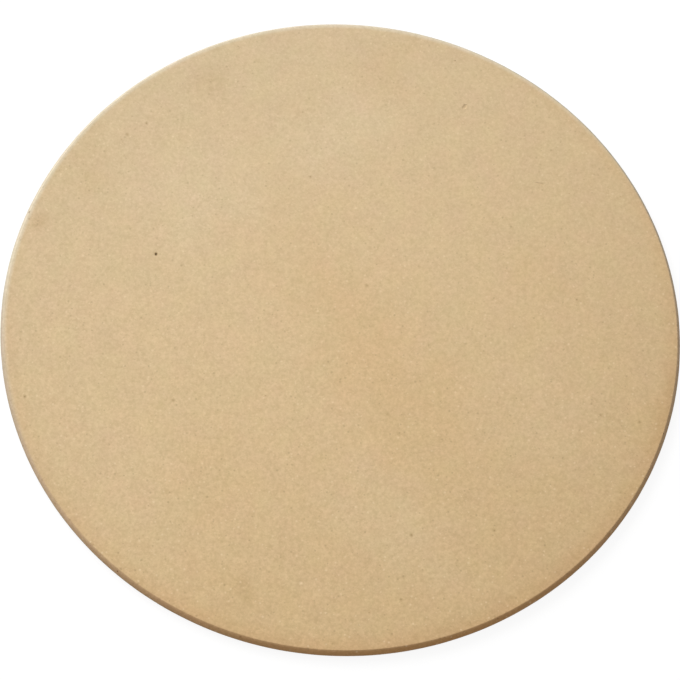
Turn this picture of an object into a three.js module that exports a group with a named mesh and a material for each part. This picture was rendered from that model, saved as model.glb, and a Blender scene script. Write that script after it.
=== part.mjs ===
// Heat deflector plate: a round slab of cordierite, dry-pressed in a die and fired once, unglazed.
// Millimetres, +Z up. The origin is the middle of the underside, on the surface that carries the plate.

import * as THREE from 'three';

// Driving dimensions of the slab
const PLATE_DIAMETER = 381; // widest line, round the middle of the edge
const PLATE_THICKNESS = 8; // underside to top face
const EDGE_CROWN = 1.9; // how far the edge swells outward between the two faces
const ARRIS_RADIUS = 0.5; // corner between the edge and each face, brushed round before the fire

// Smoothness of the round stretches
const RIM_SEGMENTS = 144; // straight facets round the rim
const ARC_DIVISIONS = 2; // the crown and each arris have twice as many facets

// Fired clay body
const CORDIERITE_COLOR = 0xd3b991;
const CORDIERITE_ROUGHNESS = 0.92;

// Half section of the slab in radius and height, from the axis along the underside, round the edge and back
// over the top face. The crown is one arc, and each arris is an arc that meets it and its face without a corner.
function plateHalfSection() {
  const halfThickness = PLATE_THICKNESS / 2;
  const rightAngle = Math.PI / 2;

  const crownRadius = (halfThickness ** 2 + EDGE_CROWN ** 2) / (2 * EDGE_CROWN);
  const crownCentre = PLATE_DIAMETER / 2 - crownRadius;

  // An arris touches the crown from inside, on the line through both centres.
  const reach = crownRadius - ARRIS_RADIUS;
  const meetingAngle = Math.asin((halfThickness - ARRIS_RADIUS) / reach);
  const arrisCentre = crownCentre + reach * Math.cos(meetingAngle);

  const section = new THREE.Path();
  section.moveTo(0, 0);
  section.lineTo(arrisCentre, 0);
  section.absarc(arrisCentre, ARRIS_RADIUS, ARRIS_RADIUS, -rightAngle, -meetingAngle);
  section.absarc(crownCentre, halfThickness, crownRadius, -meetingAngle, meetingAngle);
  section.absarc(arrisCentre, PLATE_THICKNESS - ARRIS_RADIUS, ARRIS_RADIUS, meetingAngle, rightAngle);
  section.lineTo(0, PLATE_THICKNESS);
  return section.getPoints(ARC_DIVISIONS);
}

// The slab is the half section turned about its axis, then stood up so that the axis is +Z.
function deflectorPlate() {
  const geometry = new THREE.LatheGeometry(plateHalfSection(), RIM_SEGMENTS);
  geometry.rotateX(Math.PI / 2);
  const cordierite = new THREE.MeshStandardMaterial({
    color: CORDIERITE_COLOR,
    roughness: CORDIERITE_ROUGHNESS,
    metalness: 0,
  });
  const plate = new THREE.Mesh(geometry, cordierite);
  plate.name = 'deflector_plate';
  return plate;
}

const heatDeflector = new THREE.Group();
heatDeflector.add(deflectorPlate());

export default heatDeflector;
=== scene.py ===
"""A round cordierite heat deflector plate, dressed over its solid and lying on a white studio floor."""

import math

import bpy
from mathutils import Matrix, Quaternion, Vector


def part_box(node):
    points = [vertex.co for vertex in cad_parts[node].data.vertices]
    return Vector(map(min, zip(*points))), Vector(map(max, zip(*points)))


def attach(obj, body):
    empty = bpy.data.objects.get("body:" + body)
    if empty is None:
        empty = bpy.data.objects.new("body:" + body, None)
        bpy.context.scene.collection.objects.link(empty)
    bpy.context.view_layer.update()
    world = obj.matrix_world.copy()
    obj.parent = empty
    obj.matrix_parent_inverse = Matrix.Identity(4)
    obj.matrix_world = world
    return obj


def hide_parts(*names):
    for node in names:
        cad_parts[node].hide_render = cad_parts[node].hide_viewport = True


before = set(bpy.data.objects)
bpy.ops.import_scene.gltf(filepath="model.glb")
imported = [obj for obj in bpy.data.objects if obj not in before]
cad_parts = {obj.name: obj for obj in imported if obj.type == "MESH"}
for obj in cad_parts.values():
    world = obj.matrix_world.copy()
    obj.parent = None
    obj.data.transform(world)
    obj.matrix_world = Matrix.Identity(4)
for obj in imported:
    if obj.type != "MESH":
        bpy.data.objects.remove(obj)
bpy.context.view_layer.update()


# The slab: its pressed form
# One round slab of cordierite clay and grog, pressed dry between two punches inside a steel ring.
# Its edge swells outward between the two faces, and both corners are brushed round before the fire.

MM = 0.001
slab_low, slab_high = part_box("deflector_plate")
SLAB_RADIUS = (slab_high.x - slab_low.x) / 2
SLAB_THICKNESS = slab_high.z - slab_low.z
EDGE_CROWN = 1.9 * MM
ARRIS_RADIUS = 0.5 * MM
EDGE_BAND = 3.0 * MM
EDGE_UNEVENNESS = 0.16 * MM
FACE_UNEVENNESS = 0.05 * MM
UNEVENNESS_LENGTH = 12.0 * MM
UNEVENNESS_DETAIL = 2.0
RIM_SEGMENTS = 256
FACE_RINGS = 24
CROWN_STEPS = 10
ARRIS_STEPS = 6
MERGE_GAP = 0.005 * MM


class Wire:
    """An output socket of a node tree. It is used in sums as a number is, and each sign adds a Math node."""

    def __init__(self, tree, socket=None):
        self.tree = tree
        self.socket = socket

    def node(self, kind, sockets=None, out=0, **settings):
        """Adds a node, sets it up, and gives its sockets a value, a wire or a list of wires each."""
        made = self.tree.nodes.new(kind)
        for name, value in settings.items():
            setattr(made, name, value)
        for name, value in (sockets or {}).items():
            for wire in value if isinstance(value, list) else [value]:
                if isinstance(wire, Wire):
                    self.tree.links.new(wire.socket, made.inputs[name])
                else:
                    made.inputs[name].default_value = wire
        return Wire(self.tree, made.outputs[out])

    def also(self, out):
        """Another output of the node that this wire leaves."""
        return Wire(self.tree, self.socket.node.outputs[out])

    def math(self, operation, first, second=0.0, **settings):
        return self.node("ShaderNodeMath", {0: first, 1: second}, operation=operation, **settings)

    def __add__(self, other):
        return self.math("ADD", self, other)

    def __radd__(self, other):
        return self.math("ADD", other, self)

    def __sub__(self, other):
        return self.math("SUBTRACT", self, other)

    def __rsub__(self, other):
        return self.math("SUBTRACT", other, self)

    def __mul__(self, other):
        return self.math("MULTIPLY", self, other)

    def __rmul__(self, other):
        return self.math("MULTIPLY", other, self)

    def __truediv__(self, other):
        return self.math("DIVIDE", self, other)

    def __pow__(self, other):
        return self.math("POWER", self, other)

    def __gt__(self, other):
        return self.math("GREATER_THAN", self, other)

    def __lt__(self, other):
        return self.math("LESS_THAN", self, other)

    def clamped(self):
        return self.math("ADD", self, use_clamp=True)

    def xyz(self, x=0.0, y=0.0, z=0.0):
        return self.node("ShaderNodeCombineXYZ", {"X": x, "Y": y, "Z": z})

    def scaled(self, factor):
        return self.node("ShaderNodeVectorMath", {0: self, "Scale": factor}, operation="SCALE")

    def length_across(self):
        """Distance of a place from the upright axis."""
        flat = self.node("ShaderNodeVectorMath", {0: self, 1: (1.0, 1.0, 0.0)}, operation="MULTIPLY")
        return flat.node("ShaderNodeVectorMath", {0: flat}, out="Value", operation="LENGTH")


def mesh_from_tree(name, start_mesh, sizes, shape):
    """Runs a geometry tree on a mesh and returns the result as a plain mesh.

    sizes holds the tree's named inputs. shape gets them as wires, builds the tree and returns
    its geometry.
    """
    socket_kinds = {float: "NodeSocketFloat", int: "NodeSocketInt", bpy.types.Material: "NodeSocketMaterial"}
    tree = bpy.data.node_groups.new(name, "GeometryNodeTree")
    tree.interface.new_socket("Geometry", in_out="OUTPUT", socket_type="NodeSocketGeometry")
    tree.interface.new_socket("Geometry", in_out="INPUT", socket_type="NodeSocketGeometry")
    keys = {}
    for label, value in sizes.items():
        socket = tree.interface.new_socket(label, in_out="INPUT", socket_type=socket_kinds[type(value)])
        keys[label] = socket.identifier
    inputs = tree.nodes.new("NodeGroupInput")
    given = {socket.name: Wire(tree, socket) for socket in inputs.outputs if socket.name}
    solid = Wire(tree).node("GeometryNodeRealizeInstances", {"Geometry": shape(given)})
    finished = solid.node("GeometryNodeSetMaterial", {"Geometry": solid, "Material": given["Material"]})
    result = tree.nodes.new("NodeGroupOutput")
    tree.links.new(finished.socket, result.inputs["Geometry"])

    carrier = bpy.data.objects.new(name, start_mesh)
    bpy.context.scene.collection.objects.link(carrier)
    modifier = carrier.modifiers.new(name, "NODES")
    modifier.node_group = tree
    for label, value in sizes.items():
        modifier[keys[label]] = value
    evaluated = carrier.evaluated_get(bpy.context.evaluated_depsgraph_get())
    mesh = bpy.data.meshes.new_from_object(evaluated)
    bpy.data.objects.remove(carrier)
    return mesh


def pressed_form(given):
    """Sweeps the upper half of the section round the axis, and adds the same form turned over below it.

    The section lies in the sweep's own plane: x is the way out from the widest line, and y is
    the way down.
    """
    radius = given["Radius"]
    half = given["Thickness"] / 2
    crown = given["Edge Crown"]
    arris = given["Arris Radius"]
    crown_radius = (half * half + crown * crown) / (2 * crown)
    meeting = half.math("ARCSINE", (half - arris) / (crown_radius - arris))
    arris_out = (crown_radius - arris) * half.math("COSINE", meeting) - crown_radius
    land = arris_out - arris

    def line(start, end, cuts):
        straight = half.node("GeometryNodeCurvePrimitiveLine", {
            "Start": half.xyz(start, 0 - half),
            "End": half.xyz(end, 0 - half),
        })
        return half.node("GeometryNodeSubdivideCurve", {"Curve": straight, "Cuts": cuts})

    def arc(out, down, size, start, end, steps):
        places = {}
        for label, turn in (("Start", start), ("Middle", (start + end) / 2), ("End", end)):
            x = out + size * half.math("COSINE", turn)
            y = down - size * half.math("SINE", turn)
            places[label] = half.xyz(x, y)
        return half.node("GeometryNodeCurveArc", {**places, "Resolution": steps}, mode="POINTS")

    section = half.node("GeometryNodeJoinGeometry", {"Geometry": [
        line(0 - radius, land, given["Face Rings"]),
        line(land, arris_out, 0),
        arc(arris_out, arris - half, arris, math.pi / 2, meeting, given["Arris Steps"]),
        arc(0 - crown_radius, 0.0, crown_radius, meeting, 0.0, given["Crown Steps"]),
    ]})
    path = half.node("GeometryNodeCurvePrimitiveCircle", {
        "Radius": radius,
        "Resolution": given["Rim Segments"],
    })
    upper = path.node("GeometryNodeCurveToMesh", {"Curve": path, "Profile Curve": section})
    turned = upper.node("GeometryNodeTransform", {"Geometry": upper, "Scale": (1.0, 1.0, -1.0)})
    lower = turned.node("GeometryNodeFlipFaces", {"Mesh": turned})
    both = upper.node("GeometryNodeJoinGeometry", {"Geometry": [upper, lower]})
    whole = both.node("GeometryNodeMergeByDistance", {"Geometry": both, "Distance": MERGE_GAP})
    return whole.node("GeometryNodeTransform", {"Geometry": whole, "Translation": half.xyz(z=half)})


def brushed_form(given, slab):
    """Sinks the skin a little here and there: hardly on the faces, and more along the brushed edge."""
    place = slab.node("GeometryNodeInputPosition")
    normal = slab.node("GeometryNodeInputNormal")
    near_edge = place.length_across() > given["Radius"] - EDGE_BAND
    waves = place.node("ShaderNodeTexNoise", {
        "Vector": place,
        "Scale": 1 / UNEVENNESS_LENGTH,
        "Detail": UNEVENNESS_DETAIL,
    })
    extra = given["Edge Unevenness"] - given["Face Unevenness"]
    depth = waves * (given["Face Unevenness"] + near_edge * extra)
    return slab.node("GeometryNodeSetPosition", {"Geometry": slab, "Offset": normal.scaled(0 - depth)})


# The slab: pinholes, dents and nicks
# Air that is trapped in the pressed clay leaves pinholes in the fired skin, and one larger pit that painted
# shade makes dark. Handling leaves dents, and small nicks along the corners. All are cut into the slab, the
# largest where the real plate has them.

PINHOLE_SPACING = 5.0 * MM
PINHOLE_DENSITY = 1500.0
PINHOLE_SMALLEST = 0.10 * MM
PINHOLE_LARGEST = 0.38 * MM
NICK_SPACING = 4.0 * MM
NICK_DENSITY = 16000.0
NICK_SMALLEST = 0.15 * MM
NICK_LARGEST = 0.70 * MM
PINHOLE_SEED = 7
NICK_SEED = 12
LUMP_LEAST_STRETCH = 0.7
LUMP_MOST_STRETCH = 1.3
SMALL_LUMP_BIAS = 3
LUMP_SUBDIVISIONS = 2
BOWL_SUBDIVISIONS = 3
FACE_LEAN = 0.98
CORNER_LEAN_LEAST = 0.2
CORNER_LEAN_MOST = 0.95
CREASE_ANGLE = math.radians(35)

# Place across and along the top face, length, width and depth in millimetres, turn in degrees, and how
# strongly painted shade darkens the clay round the mark.
MARKS = {
    "large pit": (-108.55, 31.3, 1.6, 1.8, 0.48, 0, 0.0),
    "struck dent": (55.1, 145.0, 3.6, 2.4, 0.30, 55, 0.10),
    "long dent": (102.2, 102.4, 5.2, 1.5, 0.21, -8, 0.08),
    "front pinhole": (51.4, -117.0, 0.65, 0.6, 0.5, 60, 0.24),
    "left pinhole": (-134.2, 102.8, 0.6, 0.55, 0.4, 0, 0.17),
    "left twin pinhole": (-124.1, 111.0, 0.55, 0.55, 0.4, 0, 0.22),
    "rim pinhole": (-169.7, -63.1, 0.60, 0.54, 0.5, 90, 0.28),
    "near pinhole": (-87.9, -54.8, 0.50, 0.42, 0.4, 0, 0.23),
    "right pinhole": (148.7, -33.6, 0.64, 0.54, 0.5, 10, 0.14),
    "right front pinhole": (96.3, -108.8, 0.44, 0.40, 0.4, 0, 0.29),
    "far pinhole": (-27.7, 89.9, 0.65, 0.6, 0.5, 0, 0.18),
    "edge pinhole": (49.5, -154.6, 0.42, 0.38, 0.4, 0, 0.25),
    "middle pinhole": (11.2, 27.5, 0.38, 0.34, 0.3, 0, 0.19),
    "inner pinhole": (31.0, -48.1, 0.52, 0.48, 0.4, 90, 0.10),
    "right rim pinhole": (170.7, -35.0, 0.36, 0.34, 0.3, 0, 0.26),
}


def marks_mesh():
    """One point for each mark on the top face, with the size and turn of its cut."""
    mesh = bpy.data.meshes.new("marks")
    rows = list(MARKS.values())
    mesh.from_pydata([(x * MM, y * MM, SLAB_THICKNESS) for x, y, *_ in rows], [], [])
    size = mesh.attributes.new("mark_size", "FLOAT_VECTOR", "POINT")
    turn = mesh.attributes.new("mark_turn", "FLOAT_VECTOR", "POINT")
    for point, (_, _, length, width, depth, degrees, _) in enumerate(rows):
        size.data[point].vector = (length / 2 * MM, width / 2 * MM, depth * MM)
        turn.data[point].vector = (0.0, 0.0, math.radians(degrees))
    return mesh


def scattered_lumps(slab, where, spacing, density, smallest, largest, seed):
    """Round lumps on the slab's skin, most of them near the smallest size."""
    points = slab.node("GeometryNodeDistributePointsOnFaces", {
        "Mesh": slab,
        "Selection": where,
        "Distance Min": spacing,
        "Density Max": density,
        "Seed": seed,
    }, distribute_method="POISSON")
    share = points.node("FunctionNodeRandomValue", {"Seed": seed}, out=1, data_type="FLOAT")
    turn = points.node("FunctionNodeRandomValue", {
        1: (math.tau,) * 3,
        "Seed": seed,
    }, data_type="FLOAT_VECTOR")
    stretch = points.node("FunctionNodeRandomValue", {
        0: (LUMP_LEAST_STRETCH,) * 3,
        1: (LUMP_MOST_STRETCH,) * 3,
        "Seed": seed + 1,
    }, data_type="FLOAT_VECTOR")
    ball = points.node("GeometryNodeMeshIcoSphere", {"Radius": 1.0, "Subdivisions": LUMP_SUBDIVISIONS})
    return points.node("GeometryNodeInstanceOnPoints", {
        "Points": points,
        "Instance": ball,
        "Rotation": turn,
        "Scale": stretch.scaled(smallest + share ** SMALL_LUMP_BIAS * (largest - smallest)),
    })


def marked_form(given, slab):
    """Cuts the marks, the pinholes of both faces and the nicks of both corners out of the slab."""
    def of_mark(name):
        return slab.node("GeometryNodeInputNamedAttribute", {"Name": name}, data_type="FLOAT_VECTOR")

    upright = slab.node("ShaderNodeSeparateXYZ", {"Vector": slab.node("GeometryNodeInputNormal")}, out="Z")
    lean = upright.math("ABSOLUTE", upright)
    on_face = lean > FACE_LEAN
    on_corner = (lean > CORNER_LEAN_LEAST) * (lean < CORNER_LEAN_MOST)
    pinholes = scattered_lumps(slab, on_face, given["Pinhole Spacing"], given["Pinhole Density"],
                               given["Smallest Pinhole"], given["Largest Pinhole"], given["Pinhole Seed"])
    nicks = scattered_lumps(slab, on_corner, given["Nick Spacing"], given["Nick Density"],
                            given["Smallest Nick"], given["Largest Nick"], given["Nick Seed"])
    bowl = slab.node("GeometryNodeMeshIcoSphere", {"Radius": 1.0, "Subdivisions": BOWL_SUBDIVISIONS})
    marks = slab.node("GeometryNodeInstanceOnPoints", {
        "Points": given["Geometry"],
        "Instance": bowl,
        "Rotation": of_mark("mark_turn"),
        "Scale": of_mark("mark_size"),
    })
    return slab.node("GeometryNodeMeshBoolean", {"Mesh 1": slab, "Mesh 2": [marks, pinholes, nicks]},
                     operation="DIFFERENCE", solver="MANIFOLD")


def slab_shape(given):
    """The whole slab, smooth apart from the rims of its cuts."""
    cut = marked_form(given, brushed_form(given, pressed_form(given)))
    smooth = cut.node("GeometryNodeSetShadeSmooth", {"Geometry": cut, "Shade Smooth": True}, domain="FACE")
    bend = cut.node("GeometryNodeInputMeshEdgeAngle")
    return smooth.node("GeometryNodeSetShadeSmooth", {
        "Geometry": smooth,
        "Selection": bend > CREASE_ANGLE,
        "Shade Smooth": False,
    }, domain="EDGE")


# The slab: its fired body
# Unglazed cordierite fires to a matte sandy tan: crushed grog in a fine clay, with pale grains, iron specks
# and faint clouds. Painted shade makes the rim darker and the near right side browner, its edge most of all,
# and darkens the upper crown of the left edge and the clay round the marks. A painted highlight pales the
# far rim and edge towards the softbox.

# Sizes and spacings are in millimetres, apart from those that name MM. Contrasts, strengths and shares are
# parts of the skin's own brightness.
GRAIN_SIZE = 0.9
GRAIN_CONTRAST = 0.09
GRAIN_RELIEF = 0.02 * MM
SAND_SIZE = 2.2
SAND_CONTRAST = 0.295
SAND_DETAIL = 3.0
PATCH_SIZE = 12.0
PATCH_CONTRAST = 0.10
PATCH_DETAIL = 1.0
PATCH_WARMTH = 0.25
BLUSH_SIZE = 14.0
BLUSH_DETAIL = 3.0
PALE_SPECK_SPACING = 2.4
PALE_SPECK_LARGEST = 0.85
PALE_SPECK_STRENGTH = 0.28
IRON_SPECK_SPACING = 2.6
IRON_SPECK_LARGEST = 0.80
IRON_SPECK_STRENGTH = 0.22
SPECK_SHARE = 0.45
SPECK_SOFTNESS = 0.4
CLOUD_CONTRAST = 0.018
CLOUD_WARMTH = 0.28
CLOUD_WAVER = 60.0
WAVER_SIZE = 30.0
SMUDGE_AND_SHADE_WARMTH = 3.0
# How far the painted shade round each mark reaches past it.
PIT_SHADE_MARGIN = 2.8
BODY_ROUGHNESS = 0.90
GRAIN_ROUGHNESS = 0.12
BODY_GLOSS = 0.3

# Slow changes across the slab. Apart from the grit, all of them are painted light that follows the softbox.
RIGHT = (1.0, 0.0, 0.0)
FAR = (0.0, 1.0, 0.0)
# Towards the softbox.
LIT_SIDE = (-0.54, 0.84, 0.0)
SHADED_ENDS = (0.8, -0.6, 0.0)
SHADED_SIDE = (0.34, -0.94, 0.0)
CROWN_SHADE_SIDE = (-0.96, -0.27, 0.0)
# Painted shade: the skin is darker towards the rim, towards both ends of a line across the slab and towards
# the right.
RIM_PAINTED_SHADE = 0.04
END_PAINTED_SHADE = 0.04
RIGHT_PAINTED_SHADE = 0.020
NEAR_GRIT = 0.18
# A browner band inside the rim is painted shade on the side away from the softbox. The edge's colour is a
# painted highlight on the side towards it and painted shade on the side away from it.
RIM_SHADE_WIDTH = 12.0 * MM
RIM_SHADE_SHARE = 0.25
EDGE_SHADE_START = 0.30
EDGE_FADE = 0.7 * MM
# Painted highlight: a pale band inside the far rim, towards the softbox.
RIM_HIGHLIGHT_WIDTH = 2.6 * MM
RIM_HIGHLIGHT_STRENGTH = 1.4
# Painted shade on the upper crown of the left edge.
CROWN_SHADE_START = 0.92
CROWN_SHADE_WIDTH = 1.0 * MM
CROWN_SHADE_STRENGTH = 0.13

# Place across and along the top face, length and width in millimetres, turn in degrees, and strength.
# A cloud above zero is paler than the rest of the skin, and one below zero is browner. A smudge above zero
# is darker, and one below zero is paler. The right rim one and the large pit one are painted shade.
CLOUDS = {
    "brown streak": (20, -9, 275, 105, -49, -1.1),
    "pale far left cloud": (-88, 70, 105, 90, 30, 1.1),
    "pale far cloud": (-14, 120, 110, 60, 11, 1.0),
    "pale near cloud": (47, -116, 145, 75, -43, 1.0),
    "pale left cloud": (-115, -92, 150, 95, -56, 0.35),
    "pale right cloud": (121, -38, 120, 75, -45, 0.7),
    "brown far cloud": (8, 163, 75, 45, 0, -0.8),
    "brown left cloud": (-60, -99, 95, 70, 90, -0.35),
    "brown right cloud": (102, 45, 75, 55, -45, -0.45),
    "brown left rim cloud": (-158, 88, 75, 40, 60, -0.8),
    "brown right rim cloud": (178, -36, 50, 30, 78, -1.2),
    "brown near rim cloud": (-45, -168, 110, 50, -15, -0.5),
}
SMUDGES_AND_SHADES = {
    "far smudge": (-91, 142, 40, 32, 0, 0.060),
    "near smudge": (-36.5, -160, 29, 16, -63, 0.064),
    "left rim smudge": (-175.4, 43, 18, 13, 60, 0.10),
    # Painted shade just inside the shaded right rim.
    "right rim painted shade": (186.5, -13.4, 44, 10, 87, 0.075),
    "pale grain": (-5.7, -152.2, 3.4, 3.2, 0, -0.24),
    # Painted shade in and round the large pit.
    "large pit painted shade": (-108.55, 31.3, 2.6, 3.1, 0, 0.88),
}


def from_screen(red, green, blue):
    """A colour as a screen shows it, 0 to 255, as the light values that a shader takes."""
    shares = [value / 255 for value in (red, green, blue)]
    return (*[s / 12.92 if s <= 0.04045 else ((s + 0.055) / 1.055) ** 2.4 for s in shares], 1.0)


PALE_TAN = from_screen(213, 189, 151)
BROWN_TAN = from_screen(213, 182, 136)
# The far rim's painted highlight.
RIM_HIGHLIGHT_TAN = from_screen(224, 208, 179)
# The edge's painted highlight towards the softbox, and its painted shade away from it. The shade colour also
# browns the band inside the rim.
LIT_EDGE = from_screen(203, 191, 168)
SHADED_EDGE = from_screen(198, 150, 97)
PALE_GROG = from_screen(238, 216, 178)
IRON_BROWN = from_screen(128, 98, 62)

# Shares of red, green and blue in a change of the skin. Pale grog is greyer than the clay round it, and a
# blush is rosier on one side and greener on the other.
GROG_TINT = (0.88, 1.0, 1.26)
BLUSH_TINT = (0.036, -0.054, 0.045)


def fired_cordierite():
    """The slab's material, in millimetres of the slab's own place."""
    material = bpy.data.materials.new("fired_cordierite")
    material.use_nodes = True
    tree = material.node_tree
    shader = tree.nodes["Principled BSDF"]
    place = Wire(tree).node("ShaderNodeTexCoord", out="Object").scaled(1 / MM)
    across = place.length_across()

    def noise(size, detail=0.0):
        """Soft chance values round zero."""
        waves = place.node("ShaderNodeTexNoise", {"Vector": place, "Scale": 1 / size, "Detail": detail})
        return waves - 0.5

    def cells(size):
        return place.node("ShaderNodeTexVoronoi", {"Vector": place, "Scale": 1 / size})

    def lot(grains):
        """A chance value from 0 to 1 that is the same all over a grain."""
        return grains.node("ShaderNodeSeparateColor", {"Color": grains.also("Color")})

    def specks(spacing, largest):
        """Small round specks, in a share of the cells of that spacing."""
        around = cells(spacing)
        radius = (lot(around) - (1 - SPECK_SHARE)) * (largest / SPECK_SHARE)
        return ((radius - around * spacing) / (SPECK_SOFTNESS * largest)).clamped()

    def rise(start, end):
        """0 to 1 between two distances inside the slab's widest line."""
        return place.node("ShaderNodeMapRange", {
            "Value": across,
            "From Min": (SLAB_RADIUS - start) / MM,
            "From Max": (SLAB_RADIUS - end) / MM,
        }, interpolation_type="SMOOTHSTEP")

    def mix(mask, below, above):
        return place.node("ShaderNodeMix", {0: mask, 6: below, 7: above}, out=2, data_type="RGBA")

    def along(direction):
        """Distance from the slab's middle along a line across it, as a share of the radius."""
        shift = place.node("ShaderNodeVectorMath", {
            0: place,
            1: direction,
        }, out="Value", operation="DOT_PRODUCT")
        return shift / (SLAB_RADIUS / MM)

    def tinted(colour, tint, amount):
        """A colour, changed by an amount of a tint."""
        change = amount.node("ShaderNodeVectorMath", {0: tint, "Scale": amount}, operation="SCALE")
        return change.node("ShaderNodeVectorMath", {
            0: colour,
            1: change,
            2: colour,
        }, operation="MULTIPLY_ADD")

    def oval(around, x, y, length, width, degrees):
        """A soft oval on the top face: 1 in its middle, and 0 from its outline on."""
        inside = place.node("ShaderNodeMapping", {
            "Vector": around,
            "Location": (x, y, SLAB_THICKNESS / MM),
            "Rotation": (0.0, 0.0, math.radians(degrees)),
            "Scale": (length / 2, width / 2, SLAB_THICKNESS / MM),
        }, vector_type="TEXTURE")
        away = inside.node("ShaderNodeVectorMath", {0: inside}, out="Value", operation="LENGTH")
        return away.node("ShaderNodeMapRange", {
            "Value": away,
            "From Min": 1.0,
            "From Max": 0.0,
        }, interpolation_type="SMOOTHSTEP")

    sway = place.node("ShaderNodeTexNoise", {"Vector": place, "Scale": 1 / WAVER_SIZE}, out="Color")
    sway = sway.node("ShaderNodeVectorMath", {0: sway, 1: (0.5, 0.5, 0.5)}, operation="SUBTRACT")
    swayed = sway.node("ShaderNodeVectorMath", {
        0: sway,
        1: (CLOUD_WAVER, CLOUD_WAVER, 0.0),
        2: place,
    }, operation="MULTIPLY_ADD")
    clouds = sum(oval(swayed, *shape) * strength for *shape, strength in CLOUDS.values())
    smudges_and_shades = sum(oval(place, *shape) * strength for *shape, strength in SMUDGES_AND_SHADES.values())
    pit_shades = sum(oval(place, x, y, length + PIT_SHADE_MARGIN, width + PIT_SHADE_MARGIN, degrees) * strength
                 for x, y, length, width, _, degrees, strength in MARKS.values())

    grain = lot(cells(GRAIN_SIZE)) - 0.5
    sand = noise(SAND_SIZE, SAND_DETAIL)
    reach = across / (SLAB_RADIUS / MM)
    shaded_ends = along(SHADED_ENDS)
    grit = 1 - along(FAR) * NEAR_GRIT
    grog_and_pit_shade = (grain * GRAIN_CONTRAST + sand * SAND_CONTRAST) * grit
    # The clay round each mark is darkened with painted shade.
    grog_and_pit_shade = grog_and_pit_shade + noise(PATCH_SIZE, PATCH_DETAIL) * PATCH_CONTRAST - pit_shades
    # Painted shade, darker towards the rim, the two ends and the right side.
    tone = 1 - reach * reach * RIM_PAINTED_SHADE - shaded_ends * shaded_ends * END_PAINTED_SHADE - along(RIGHT) * RIGHT_PAINTED_SHADE
    tone = tone + clouds * CLOUD_CONTRAST - smudges_and_shades
    # Painted light: the skin is painted paler towards the softbox and browner away from it. The patches and
    # clouds add the skin's own warmth.
    warmth = 0.5 - along(LIT_SIDE) * 0.5 + noise(PATCH_SIZE) * PATCH_WARMTH
    warmth = warmth - clouds * CLOUD_WARMTH + smudges_and_shades * SMUDGE_AND_SHADE_WARMTH
    skin = mix(warmth, PALE_TAN, BROWN_TAN)
    # Painted shade: a browner band inside the rim, on the side away from the softbox.
    skin = mix(rise(EDGE_CROWN + RIM_SHADE_WIDTH, EDGE_CROWN) * warmth * RIM_SHADE_SHARE, skin, SHADED_EDGE)
    # The edge's colour: painted highlight towards the softbox, painted shade away from it.
    edge_shade = place.node("ShaderNodeMapRange", {
        "Value": 0.5 + along(SHADED_SIDE) * 0.5,
        "From Min": EDGE_SHADE_START,
        "From Max": 1.0,
    })
    # Painted highlight inside the far rim, towards the softbox.
    rim_highlight = (along(LIT_SIDE) * RIM_HIGHLIGHT_STRENGTH).clamped()
    skin = mix(rise(EDGE_CROWN + RIM_HIGHLIGHT_WIDTH, EDGE_CROWN) * rim_highlight, skin, RIM_HIGHLIGHT_TAN)
    edge = mix(edge_shade, LIT_EDGE, SHADED_EDGE)
    colour = mix(rise(EDGE_CROWN + EDGE_FADE, EDGE_CROWN / 2), skin, edge)
    # Painted shade that darkens the lit upper crown of the left edge.
    crown_shade = ((along(CROWN_SHADE_SIDE) - CROWN_SHADE_START) / (1 - CROWN_SHADE_START)).clamped()
    crown_shade = rise(EDGE_CROWN + CROWN_SHADE_WIDTH, EDGE_CROWN) * crown_shade * CROWN_SHADE_STRENGTH
    colour = colour.scaled(tone - crown_shade)
    colour = tinted(colour, GROG_TINT, grog_and_pit_shade)
    colour = tinted(colour, BLUSH_TINT, noise(BLUSH_SIZE, BLUSH_DETAIL))
    pale_specks = specks(PALE_SPECK_SPACING, PALE_SPECK_LARGEST) * grit
    iron_specks = specks(IRON_SPECK_SPACING, IRON_SPECK_LARGEST) * grit
    colour = mix(pale_specks * PALE_SPECK_STRENGTH, colour, PALE_GROG)
    colour = mix(iron_specks * IRON_SPECK_STRENGTH, colour, IRON_BROWN)
    relief = place.node("ShaderNodeBump", {"Height": grain + sand, "Distance": GRAIN_RELIEF})
    tree.links.new(colour.socket, shader.inputs["Base Color"])
    tree.links.new((BODY_ROUGHNESS - GRAIN_ROUGHNESS * grain).socket, shader.inputs["Roughness"])
    tree.links.new(relief.socket, shader.inputs["Normal"])
    shader.inputs["Specular IOR Level"].default_value = BODY_GLOSS
    return material


slab_sizes = {
    "Radius": SLAB_RADIUS,
    "Thickness": SLAB_THICKNESS,
    "Edge Crown": EDGE_CROWN,
    "Arris Radius": ARRIS_RADIUS,
    "Edge Unevenness": EDGE_UNEVENNESS,
    "Face Unevenness": FACE_UNEVENNESS,
    "Rim Segments": RIM_SEGMENTS,
    "Face Rings": FACE_RINGS,
    "Crown Steps": CROWN_STEPS,
    "Arris Steps": ARRIS_STEPS,
    "Pinhole Spacing": PINHOLE_SPACING,
    "Pinhole Density": PINHOLE_DENSITY,
    "Smallest Pinhole": PINHOLE_SMALLEST,
    "Largest Pinhole": PINHOLE_LARGEST,
    "Pinhole Seed": PINHOLE_SEED,
    "Nick Spacing": NICK_SPACING,
    "Nick Density": NICK_DENSITY,
    "Smallest Nick": NICK_SMALLEST,
    "Largest Nick": NICK_LARGEST,
    "Nick Seed": NICK_SEED,
    "Material": fired_cordierite(),
}
slab = bpy.data.objects.new("fired_slab", mesh_from_tree("slab", marks_mesh(), slab_sizes, slab_shape))
bpy.context.scene.collection.objects.link(slab)
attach(slab, "root")
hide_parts("deflector_plate")


# The studio floor and the light
# A plain floor that the camera sees as white, with the slab's own soft shadow, under a pale even dome of
# light. One large softbox stands to the left and a little behind, so the near right of the edge is in shade.

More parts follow.
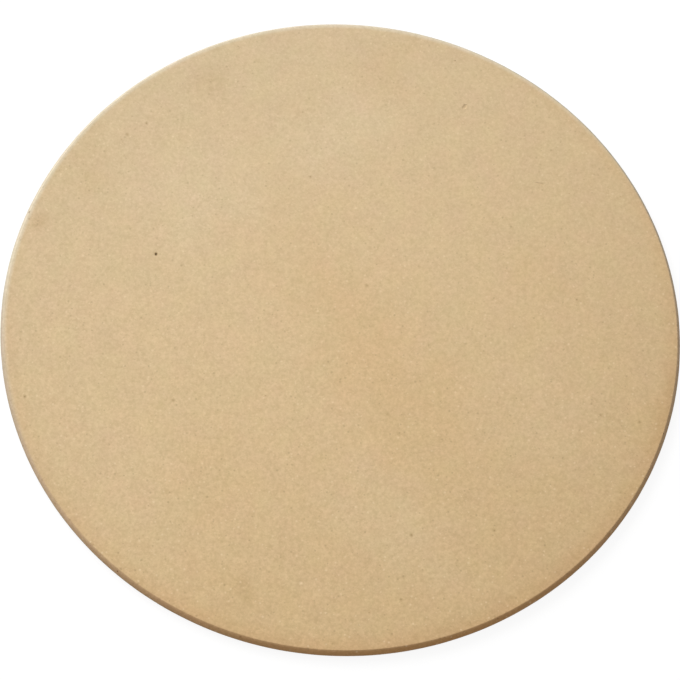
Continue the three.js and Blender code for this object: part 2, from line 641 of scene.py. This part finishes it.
FLOOR_RADIUS = 12.0
FLOOR_CORNERS = 64
FLOOR_DROP = 0.1 * MM
FLOOR_BOUNCE = 0.40
FLOOR_SHADOW_SHARE = 0.16
FLOOR_GLOW = 0.885
DOME_STRENGTH = 0.45
SOFTBOX_PLACE = Vector((-2.08, 1.87, 1.75))
SOFTBOX_SIDE = 3.4
SOFTBOX_WATTS = 148.0


def seen_directly(start):
    """1 for what the camera sees, straight or in gloss or glass, and 0 for light that is passed on."""
    path = start.node("ShaderNodeLightPath", out="Is Camera Ray")
    return (path + path.also("Is Glossy Ray") + path.also("Is Transmission Ray")).clamped()


def floor_material():
    material = bpy.data.materials.new("studio_floor")
    material.use_nodes = True
    tree = material.node_tree
    shader = tree.nodes["Principled BSDF"]
    seen = seen_directly(Wire(tree))
    bounce = FLOOR_BOUNCE + seen * (FLOOR_SHADOW_SHARE - FLOOR_BOUNCE)
    tree.links.new(bounce.socket, shader.inputs["Base Color"])
    tree.links.new((seen * FLOOR_GLOW).socket, shader.inputs["Emission Color"])
    shader.inputs["Emission Strength"].default_value = 1.0
    shader.inputs["Roughness"].default_value = 1.0
    shader.inputs["Specular IOR Level"].default_value = 0.0
    return material


def studio_floor():
    turns = [math.tau * corner / FLOOR_CORNERS for corner in range(FLOOR_CORNERS)]
    mesh = bpy.data.meshes.new("studio_floor")
    ring = [(FLOOR_RADIUS * math.cos(turn), FLOOR_RADIUS * math.sin(turn), -FLOOR_DROP) for turn in turns]
    mesh.from_pydata(ring, [], [range(FLOOR_CORNERS)])
    mesh.materials.append(floor_material())
    floor = bpy.data.objects.new("studio_floor", mesh)
    bpy.context.scene.collection.objects.link(floor)


def studio_dome():
    world = bpy.data.worlds.new("studio_dome")
    world.use_nodes = True
    bpy.context.scene.world = world
    tree = world.node_tree
    background = tree.nodes["Background"]
    seen = seen_directly(Wire(tree))
    tree.links.new((DOME_STRENGTH + seen * (1 - DOME_STRENGTH)).socket, background.inputs["Color"])
    background.inputs["Strength"].default_value = 1.0


def softbox():
    light = bpy.data.lights.new("softbox", "AREA")
    light.size = SOFTBOX_SIDE
    light.energy = SOFTBOX_WATTS
    lamp = bpy.data.objects.new("softbox", light)
    lamp.location = SOFTBOX_PLACE
    lamp.rotation_euler = (-SOFTBOX_PLACE).to_track_quat("-Z", "Y").to_euler()
    bpy.context.scene.collection.objects.link(lamp)


studio_floor()
studio_dome()
softbox()
bpy.context.scene.view_settings.view_transform = "Standard"


# The camera
# A long lens looks steeply down on the plate, tipped a little to one side, and the plate fills the picture.

VIEW_ELEVATION = math.radians(67.87)
VIEW_ROLL = math.radians(6.77)
VIEW_DISTANCE = 2.286
AIM = Vector((-0.14 * MM, -4.07 * MM, 0.0))
PICTURE_PIXELS = 680
FOCAL_PIXELS = 4077.3
SENSOR_MM = 36.0

back = Vector((0.0, -math.cos(VIEW_ELEVATION), math.sin(VIEW_ELEVATION)))
lens = bpy.data.cameras.new("camera")
lens.sensor_width = SENSOR_MM
lens.lens = FOCAL_PIXELS / PICTURE_PIXELS * SENSOR_MM
camera = bpy.data.objects.new("camera", lens)
camera.location = AIM + back * VIEW_DISTANCE
camera.rotation_mode = "QUATERNION"
camera.rotation_quaternion = (-back).to_track_quat("-Z", "Y") @ Quaternion((0.0, 0.0, 1.0), VIEW_ROLL)
bpy.context.scene.collection.objects.link(camera)
bpy.context.scene.camera = camera
